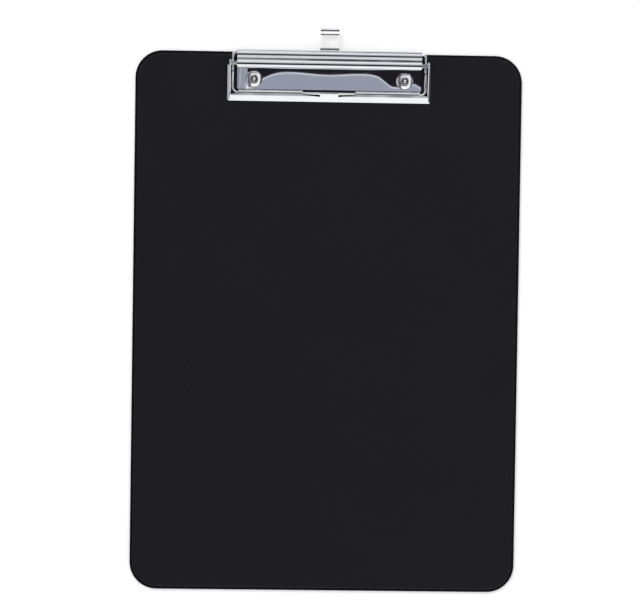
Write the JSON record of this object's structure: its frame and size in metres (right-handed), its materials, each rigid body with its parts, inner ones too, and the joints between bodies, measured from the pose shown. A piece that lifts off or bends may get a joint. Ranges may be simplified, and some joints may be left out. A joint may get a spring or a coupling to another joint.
{
  "type": "clipboard",
  "caption": "Flat A4 clipboard: foil-covered stiff board with a low sprung wire clip at its top edge and a slide-out hanging hook.",
  "frame": {"origin": "centre of the board's back face", "axes": "+X across the board to the right of the writing face, +Y along the board towards the clip, +Z out of the writing face"},
  "size_m": [0.228, 0.3323, 0.0108],
  "materials": {
    "greyboard": "raw grey board, sealed inside the foils",
    "black_foil": "matt black film with a fine leather-like grain, welded rim slightly glossier",
    "chromed_sheet": "bright chrome on pressed steel sheet",
    "chromed_wire": "bright chrome on drawn steel wire",
    "chromed_rivet": "bright nickel-chrome on turned rivets and washers"
  },
  "bodies": {
    "board": {"core_board": "greyboard", "front_cover": "black_foil", "back_cover": "black_foil", "clip_base": "chromed_sheet", "rivet_left": "chromed_rivet", "rivet_right": "chromed_rivet", "washer_left": "chromed_rivet", "washer_right": "chromed_rivet"},
    "jaw": {"clip_jaw": "chromed_sheet", "hinge_pin": "chromed_wire"},
    "bail": {"bail_spring": "chromed_wire"},
    "hook": {"hanging_hook": "chromed_sheet"}
  },
  "joints": [
    {"name": "jaw_hinge", "type": "hinge", "parent": "board", "child": "jaw", "pos_m": [0, 0.1515, 0.0086], "axis": [-1, 0, 0], "range_deg": [0, 30], "stiffness_Nm_per_rad": 0.03, "springref_deg": -17.19},
    {"name": "bail_hinge", "type": "hinge", "parent": "board", "child": "bail", "pos_m": [0, 0.1584, 0.0074], "axis": [-1, 0, 0], "range_deg": [0, 21.4]},
    {"name": "hook_slide", "type": "slide", "parent": "board", "child": "hook", "axis": [0, 1, 0], "range_m": [-0.0088, 0]}
  ],
  "couplings": [
    {"joint": "bail_hinge", "follows": "jaw_hinge", "ratio": 0.7105}
  ]
}
